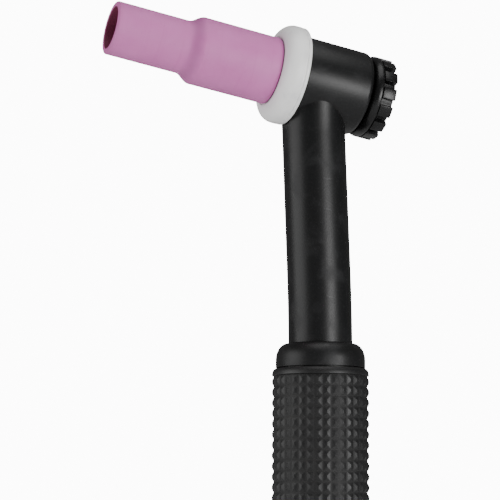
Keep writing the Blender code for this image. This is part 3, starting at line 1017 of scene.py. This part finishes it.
@dataclass
class Head:
    """The moulded insulation, the brass body inside it and the copper tube up the neck."""

    barrel: float = 12.0 * MM
    front: float = 5.65 * MM
    rear: float = -14.38 * MM
    rounding: float = 1.45 * MM
    bore: float = 8.8 * MM
    trim: float = 16.8 * MM
    tail: float = 95.0 * MM
    tube: float = 4.0 * MM
    tube_bore: float = 3.0 * MM
    boss: float = 6.2 * MM
    port: float = 1.3 * MM
    boss_reach: float = 14.0 * MM
    socket_depth: float = 7.3 * MM
    body_rear: float = -13.2 * MM
    front_bore: float = 6.4 * MM
    front_bore_floor: float = -0.6 * MM
    rear_bore: float = 5.6 * MM
    rear_bore_floor: float = 1.0 * MM
    seal_bore: float = 7.6 * MM
    seal_bore_floor: float = -11.2 * MM
    tube_bottom: float = 78.3 * MM

    def make_cover(self) -> Piece:
        """Joins the barrel and the neck with a crisp saddle, then opens the bores."""
        edge = 0.35 * MM
        line = Outline(0.0, self.front).shoulder(self.barrel, self.front, edge, edge, 5)
        line.heel(self.barrel, self.rear, self.rounding, 10).to(0.0, self.rear)
        obj = line.turn("head_insulation", 160)
        place(obj, HEAD)
        neck = NECK.rod("insulation_neck", NECK.radius, self.tail, 2 * MM, 120)
        NECK.deepen(neck)
        combine(obj, neck, Cut.ADD)
        combine(obj, self.along(HEAD, "front_trim", self.trim, self.front, self.front + 6 * MM))
        combine(obj, self.along(HEAD, "barrel_bore", self.bore, self.rear - MM, self.front + MM))
        combine(obj, self.along(NECK.axis(), "boss_pocket", self.boss + GAP, 5 * MM, self.boss_reach + GAP))
        combine(obj, NECK.rod("tube_bore", self.tube + GAP, self.tail - MM, 6 * MM, 48))
        break_edges(obj, 0.18 * MM, 2, 40)
        return dress(obj, SatinMoulding("head_moulding", HEAD, 0.33),
                     Body.TORCH, "head_plastic", "head_cover",
                     smooth_angle=math.radians(12))

    @staticmethod
    def along(axis: Axis, name: str, radius: float, bottom: float, top: float) -> Piece:
        """Adds a closed cylinder about an axis of the frame."""
        obj = cylinder(name, radius, bottom, top, 96)
        place(obj, axis)
        return obj

    def make_body(self) -> Piece:
        """Turns the brass body, joins its boss and bores it for the threads, the seal and the tube."""
        radius = self.bore - GAP
        front = self.front - 0.2 * MM
        line = Outline(0.0, front).to(radius, front).to(radius, self.body_rear).to(0.0, self.body_rear)
        obj = line.turn("brass_head_body", 128)
        place(obj, HEAD)
        neck = NECK.axis()
        combine(obj, self.along(neck, "boss", self.boss, 4 * MM, self.boss_reach), Cut.ADD)
        ahead, behind = 8 * MM, -15 * MM
        for name, size, bottom, top in (("front_bore", self.front_bore, self.front_bore_floor, ahead),
                                        ("rear_bore", self.rear_bore, behind, self.rear_bore_floor),
                                        ("seal_bore", self.seal_bore, behind, self.seal_bore_floor)):
            combine(obj, self.along(HEAD, name, size, bottom, top))
        combine(obj, self.along(neck, "socket", self.tube + GAP, self.socket_depth, self.boss_reach + MM))
        combine(obj, self.along(neck, "gas_port", self.port, 3 * MM, self.socket_depth + MM))
        break_edges(obj, 0.2 * MM, 2, 40)
        return dress(obj, TurnedMetal("head_brass", HEAD, *BRASS), Body.TORCH, "brass", "head_body")

    def make_tube(self) -> Piece:
        """Draws the copper tube and opens its bore."""
        end = self.socket_depth + GAP
        obj = NECK.rod("copper_neck_tube", self.tube, self.tube_bottom, end, 64)
        combine(obj, NECK.rod("tube_gas_bore", self.tube_bore, self.tube_bottom - MM, end - MM, 48))
        break_edges(obj, 0.15 * MM, 2, 40)
        return dress(obj, TurnedMetal("tube_copper", HANDLE, *COPPER, roughness=0.3),
                     Body.TORCH, "copper", "neck_tube")


@dataclass
class GasEnd:
    """The nozzle, its gasket, and the collet body, collet and electrode inside them."""

    base: float = 9.525 * MM
    tip: float = 7.48 * MM
    bore: float = 5.85 * MM
    nozzle_rear: float = 12.5 * MM
    mouth: float = 60.1 * MM
    tip_length: float = 20.8 * MM
    step_length: float = 4.4 * MM
    rim: float = 0.6 * MM
    lip: float = 0.3 * MM
    thread: float = 6.1 * MM
    thread_pitch: float = 1.5 * MM
    gasket: float = 14.05 * MM
    gasket_rear: float = 5.95 * MM
    gasket_front: float = 12.65 * MM
    gasket_recess: float = 0.45 * MM
    gasket_round_width: float = 4.1 * MM
    gasket_round_depth: float = 3.9 * MM
    collet_tip: float = 36.4 * MM
    collet_rear: float = -4.7 * MM
    electrode: float = 1.2 * MM
    electrode_rear: float = -14.0 * MM
    electrode_tip: float = 52.0 * MM
    ground: float = 5.5 * MM

    def make_nozzle(self) -> Piece:
        """Turns the ceramic nozzle: a round-lipped tip, a soft step and a thicker base."""
        inner = self.thread + GAP
        step_top = self.mouth - self.tip_length
        thread_end = self.nozzle_rear + 12 * MM
        line = Outline(self.bore + self.lip, self.mouth)
        line.shoulder(self.tip, self.mouth, self.rim, self.rim, 8)
        line.to(self.tip, step_top).ease(self.base, step_top - self.step_length)
        line.heel(self.base, self.nozzle_rear, 0.5 * MM, 5)
        line.line((inner, self.nozzle_rear), (inner, thread_end), (inner + 0.8 * MM, thread_end + 0.8 * MM),
                  (inner + 0.8 * MM, step_top - self.step_length - MM), (self.bore, step_top - MM),
                  (self.bore, self.mouth - self.lip))
        line.corner(self.bore + self.lip * 0.98, self.mouth, Leave.ALONG, 6)
        obj = line.turn("ceramic_nozzle", 144)
        place(obj, HEAD)
        return dress(obj, FiredAlumina(self.mouth, self.bore), Body.NOZZLE, "alumina", "gas_nozzle")

    def make_gasket(self) -> Piece:
        """Turns the white ring: a round front, a shallow groove and a thin lip at the rear."""
        bore = self.thread + GAP
        recess = self.base + 0.42 * MM
        floor = self.gasket_front - self.gasket_recess
        rear = self.gasket_rear
        line = Outline(recess, self.gasket_front)
        line.shoulder(self.gasket, self.gasket_front, self.gasket_round_width, self.gasket_round_depth, 14)
        groove, lip = self.gasket - 0.22 * MM, self.gasket - 0.05 * MM
        line.line((self.gasket, rear + 1.5 * MM), (groove, rear + 1.3 * MM), (groove, rear + 1.1 * MM),
                  (lip, rear + 0.95 * MM)).heel(lip, rear, 0.4 * MM, 5)
        line.line((bore, rear), (bore, floor), (recess, floor))
        obj = line.turn("insulating_ring", 160)
        break_edges(obj, 0.1 * MM, 2, 50)
        place(obj, HEAD)
        return dress(obj, TurnedFluoropolymer(), Body.GASKET, "ptfe", "cup_gasket")

    def make_collet_body(self) -> Piece:
        """Turns the collet body, cuts its thread and drills its four gas holes."""
        nose = 4.6 * MM
        rear = -0.3 * MM
        thread_front = 22.0 * MM
        tip = 38.5 * MM
        hole, hole_height = 1.0 * MM, 27 * MM
        bore, seat, eye = 3.6 * MM, 2.85 * MM, 1.55 * MM
        chamfer = 0.5 * MM
        line = Outline(eye + 0.2 * MM, tip)
        line.line((2.2 * MM, tip), (2.7 * MM, tip - 0.4 * MM), (nose, tip - 5 * MM),
                  (nose, thread_front + 0.6 * MM), (self.thread - chamfer, thread_front),
                  (self.thread, thread_front - chamfer))
        line.rows(rear + chamfer, self.thread_pitch / 10)
        line.line((self.thread - chamfer, rear), (bore, rear), (bore, self.collet_tip - 6 * MM),
                  (seat, self.collet_tip - 5.2 * MM), (seat, self.collet_tip - 0.9 * MM),
                  (eye, self.collet_tip + 1.3 * MM), (eye, tip - 0.2 * MM))
        obj = line.turn("threaded_collet_body", 96)
        Thread(rear, thread_front, self.thread, self.thread_pitch, 0.6 * MM).cut(obj)
        for turn in (45, 135):
            drill = cylinder("gas_drill", hole, -6 * MM, 6 * MM, 32)
            drill.matrix_world = (Matrix.Translation((0, 0, hole_height))
                                  @ Matrix.Rotation(math.radians(turn), 4, "Z")
                                  @ Matrix.Rotation(math.pi / 2, 4, "X"))
            combine(obj, drill)
        place(obj, HEAD)
        return dress(obj, TurnedMetal("collet_body_copper", HEAD, *COPPER),
                     Body.TORCH, "copper", "collet_body")

    def make_collet(self) -> Piece:
        """Turns the collet and saws its two crossing slots."""
        outer, bore = 2.5 * MM, 1.5 * MM
        slot = 0.5 * MM
        line = Outline(bore + 0.15 * MM, self.collet_tip).to(outer - 0.6 * MM, self.collet_tip)
        line.line((outer, self.collet_tip - 1.4 * MM), (outer, self.collet_rear + 0.2 * MM),
                  (outer - 0.2 * MM, self.collet_rear), (bore, self.collet_rear),
                  (bore, self.collet_tip - 0.15 * MM))
        obj = line.turn("slotted_collet", 64)
        start = 20 * MM
        depth = self.collet_tip + MM - start
        centre = Vector((0, 0, start + depth / 2))
        for scale in ((slot, 6 * MM, depth), (6 * MM, slot, depth)):
            combine(obj, add("saw_cut", bpy.ops.mesh.primitive_cube_add, size=1.0, scale=scale,
                             location=centre))
        place(obj, HEAD)
        return dress(obj, TurnedMetal("collet_copper", HEAD, *COPPER, roughness=0.3),
                     Body.COLLET, "copper", "collet")

    def make_electrode(self) -> Piece:
        """Turns the electrode with its ground point and small flat."""
        flat, chamfer = 0.18 * MM, 0.15 * MM
        line = Outline(0.0, self.electrode_tip).to(flat, self.electrode_tip)
        line.to(self.electrode, self.electrode_tip - self.ground)
        line.line((self.electrode, self.electrode_rear + chamfer),
                  (self.electrode - chamfer, self.electrode_rear), (0.0, self.electrode_rear))
        obj = line.turn("ground_electrode", 48)
        place(obj, HEAD)
        return dress(obj, GroundTungsten(self.electrode_tip, self.ground),
                     Body.ELECTRODE, "tungsten", "tungsten_electrode")


@dataclass
class BackCap:
    """The short back cap: knob, threaded insert and O-ring."""

    radius: float = 11.75 * MM
    front: float = -15.0 * MM
    rear: float = -21.7 * MM
    teeth_front: float = -17.5 * MM
    rounding: float = 1.4 * MM
    teeth: int = 14
    columns_per_tooth: int = 8
    tooth_columns: int = 5
    notch_floor: float = 9.7 * MM
    spigot: float = 8.2 * MM
    spigot_front: float = -13.6 * MM
    pocket: float = 4.9 * MM
    stem: float = 4.6 * MM
    stem_rear: float = -18.6 * MM
    insert_front: float = -5.0 * MM
    insert: float = 5.3 * MM
    thread_pitch: float = 1.25 * MM
    electrode_bore: float = 1.7 * MM
    seal: float = 6.45 * MM
    seal_section: float = 0.83 * MM
    seal_height: float = -12.4 * MM

    def make_knob(self) -> Piece:
        """Turns the knob down to its notch floor, then raises the teeth from it."""
        pocket_floor = self.stem_rear - GAP
        core_rear = self.rear + 0.35 * MM
        dish, dish_edge = 7.2 * MM, 7.9 * MM
        line = Outline(0.0, pocket_floor).line((self.pocket, pocket_floor), (self.pocket, self.spigot_front))
        line.line((self.spigot, self.spigot_front), (self.spigot, self.front))
        line.shoulder(self.radius, self.front, self.rounding, 1.3 * self.rounding, 10)
        line.to(self.radius, self.teeth_front + 0.5 * MM)
        line.corner(self.radius - 0.3 * MM, self.teeth_front + 0.12 * MM, Leave.ALONG, 5)
        line.line((self.notch_floor, self.teeth_front + 0.05 * MM),
                  (self.notch_floor, self.teeth_front - 0.05 * MM), (self.notch_floor, core_rear))
        line.line((self.notch_floor - 0.3 * MM, self.rear), (dish_edge, self.rear))
        line.corner(dish, self.rear + 0.6 * MM, Leave.ALONG, 5).to(0.0, self.rear + 0.75 * MM)
        steps = self.teeth * self.columns_per_tooth
        obj = line.turn("toothed_knob", steps)

        def on_tooth(centre: Vector) -> bool:
            """Tells whether a face of the notch floor lies under a tooth."""
            wall = abs(centre.xy.length - self.notch_floor) < 0.08 * MM
            level = core_rear < centre.z < self.teeth_front - 0.1 * MM
            column = int(math.atan2(centre.y, centre.x) % FULL_TURN / FULL_TURN * steps)
            return wall and level and column % self.columns_per_tooth < self.tooth_columns

        select_faces(obj, on_tooth)
        rise = self.radius - self.notch_floor
        in_edit_mode(obj, lambda: bpy.ops.mesh.extrude_region_shrink_fatten(
            TRANSFORM_OT_shrink_fatten={"value": rise}))
        break_edges(obj, 0.22 * MM, 3, 35)
        place(obj, HEAD)
        return dress(obj, SatinMoulding("cap_moulding", HEAD, 0.24), Body.CAP, "cap_plastic", "back_cap_knob")

    def make_insert(self) -> Piece:
        """Turns the brass insert and cuts its thread."""
        shoulder = self.spigot_front + GAP
        seat = -11.4 * MM
        bottom = -17.0 * MM
        chamfer = 0.4 * MM
        line = Outline(0.0, bottom).to(self.electrode_bore, bottom)
        line.line((self.electrode_bore, self.insert_front), (self.insert - chamfer, self.insert_front),
                  (self.insert, self.insert_front - chamfer))
        line.rows(seat, self.thread_pitch / 10)
        line.line((self.insert, shoulder), (self.stem, shoulder), (self.stem, self.stem_rear),
                  (0.0, self.stem_rear))
        obj = line.turn("threaded_insert", 96)
        Thread(seat, self.insert_front, self.insert, self.thread_pitch, 0.5 * MM).cut(obj)
        place(obj, HEAD)
        return dress(obj, TurnedMetal("insert_brass", HEAD, *BRASS), Body.CAP, "brass", "back_cap_insert")

    def make_seal(self) -> Piece:
        """Rolls the O-ring, with the fine flash line of its mould."""
        obj = add("sealing_ring", bpy.ops.mesh.primitive_torus_add, major_radius=self.seal,
                  minor_radius=self.seal_section, major_segments=96, minor_segments=24,
                  location=(0, 0, self.seal_height))
        outside = self.seal + self.seal_section - 0.02 * MM
        select_faces(obj, lambda centre: centre.xy.length > outside)
        in_edit_mode(obj, lambda: bpy.ops.mesh.inset(thickness=0.04 * MM, depth=0.02 * MM))
        place(obj, HEAD)
        return dress(obj, SealRubber(), Body.SEAL, "seal_rubber", "back_cap_oring")


# ---------------------------------------------------------------- studio


@dataclass(frozen=True)
class Softbox:
    """A soft studio light.

    Args:
        name: its name.
        position: where it stands.
        size: its width and height.
        power: its power in watts.
    """

    name: str
    position: Vector
    size: tuple[float, float]
    power: float

    def make(self, target: Vector) -> None:
        """Adds the light, facing the target."""
        data = bpy.data.lights.new(self.name, "AREA")
        data.shape = "RECTANGLE"
        data.size, data.size_y = self.size
        data.energy = self.power
        obj = bpy.data.objects.new(self.name, data)
        obj.location = self.position
        obj.rotation_euler = (target - self.position).to_track_quat("-Z", "Y").to_euler()
        bpy.context.scene.collection.objects.link(obj)


@dataclass
class Studio:
    """The camera, the pale floor, the white surround and the soft lights."""

    eye: Vector
    heading: float
    lift: float
    roll: float
    lens: float
    floor_radius: float = 0.75
    floor_glow: float = 0.22

    def make_camera(self) -> None:
        """Sets up the camera, a little below the head and to the nozzle's side."""
        data = bpy.data.cameras.new("camera")
        data.lens = self.lens
        data.clip_start, data.clip_end = 0.01, 50.0
        camera = bpy.data.objects.new("camera", data)
        forward = Vector((math.sin(self.heading) * math.cos(self.lift),
                          math.cos(self.heading) * math.cos(self.lift), math.sin(self.lift)))
        aim = forward.to_track_quat("-Z", "Y").to_matrix().to_4x4()
        camera.matrix_world = Matrix.Translation(self.eye) @ aim @ Matrix.Rotation(self.roll, 4, "Z")
        bpy.context.scene.collection.objects.link(camera)
        bpy.context.scene.camera = camera

    def make_floor(self) -> None:
        """Lays the round pale floor just under the handle."""
        floor = add("studio_floor", bpy.ops.mesh.primitive_circle_add, vertices=160,
                    radius=self.floor_radius, fill_type="NGON", location=(0, 0, -0.5 * MM))
        material = bpy.data.materials.new("studio_floor")
        material.use_nodes = True
        shader = material.node_tree.nodes["Principled BSDF"]
        shader.inputs["Base Color"].default_value = (0.8, 0.8, 0.8, 1.0)
        shader.inputs["Roughness"].default_value = 0.9
        shader.inputs["Emission Color"].default_value = (1, 1, 1, 1)
        shader.inputs["Emission Strength"].default_value = self.floor_glow
        floor.data.materials.append(material)

    def make_surround(self, seen: float, light: float) -> None:
        """Surrounds the scene with white, brighter to the eye than as a source of light.

        Args:
            seen: its brightness behind the object.
            light: its brightness as a light.
        """
        world = bpy.data.worlds.new("surround")
        world.use_nodes = True
        nodes, links = world.node_tree.nodes, world.node_tree.links
        background = nodes["Background"]
        background.inputs["Color"].default_value = (1, 1, 1, 1)
        path = nodes.new("ShaderNodeLightPath")
        strength = nodes.new("ShaderNodeMapRange")
        strength.inputs["To Min"].default_value = light
        strength.inputs["To Max"].default_value = seen
        links.new(path.outputs["Is Camera Ray"], strength.inputs["Value"])
        links.new(strength.outputs["Result"], background.inputs["Strength"])
        bpy.context.scene.world = world

    def make(self, lights: list[Softbox], target: Vector) -> None:
        """Builds the whole studio."""
        self.make_camera()
        self.make_floor()
        self.make_surround(seen=12.0, light=0.15)
        for light in lights:
            light.make(target)


def main() -> None:
    """Builds every piece in order, then the studio."""
    logging.basicConfig(level=logging.INFO, format="%(message)s")
    handle, adapter, head, gas_end, cap = Handle(), CableAdapter(), Head(), GasEnd(), BackCap()
    for make in (handle.make_core, handle.make_grip, adapter.make, head.make_cover, head.make_body,
                 head.make_tube, gas_end.make_nozzle, gas_end.make_gasket, gas_end.make_collet_body,
                 gas_end.make_collet, gas_end.make_electrode, cap.make_knob, cap.make_insert,
                 cap.make_seal):
        make()

    studio = Studio(eye=Vector((-0.1918, -0.4547, 0.0880)), heading=math.radians(20.58),
                    lift=math.radians(7.84), roll=math.radians(0.31), lens=128.0)
    lights = [
        Softbox("front", Vector((0.24, -0.67, 0.10)), (0.30, 0.36), 5.4),
        Softbox("nozzle_side", Vector((-0.80, 0.09, 0.25)), (0.70, 0.60), 4.6),
        Softbox("overhead", Vector((0.0, -0.28, 0.95)), (0.80, 0.60), 4.3),
    ]
    studio.make(lights, Vector((0, 0, 0.16)))


if __name__ == "__main__":
    main()
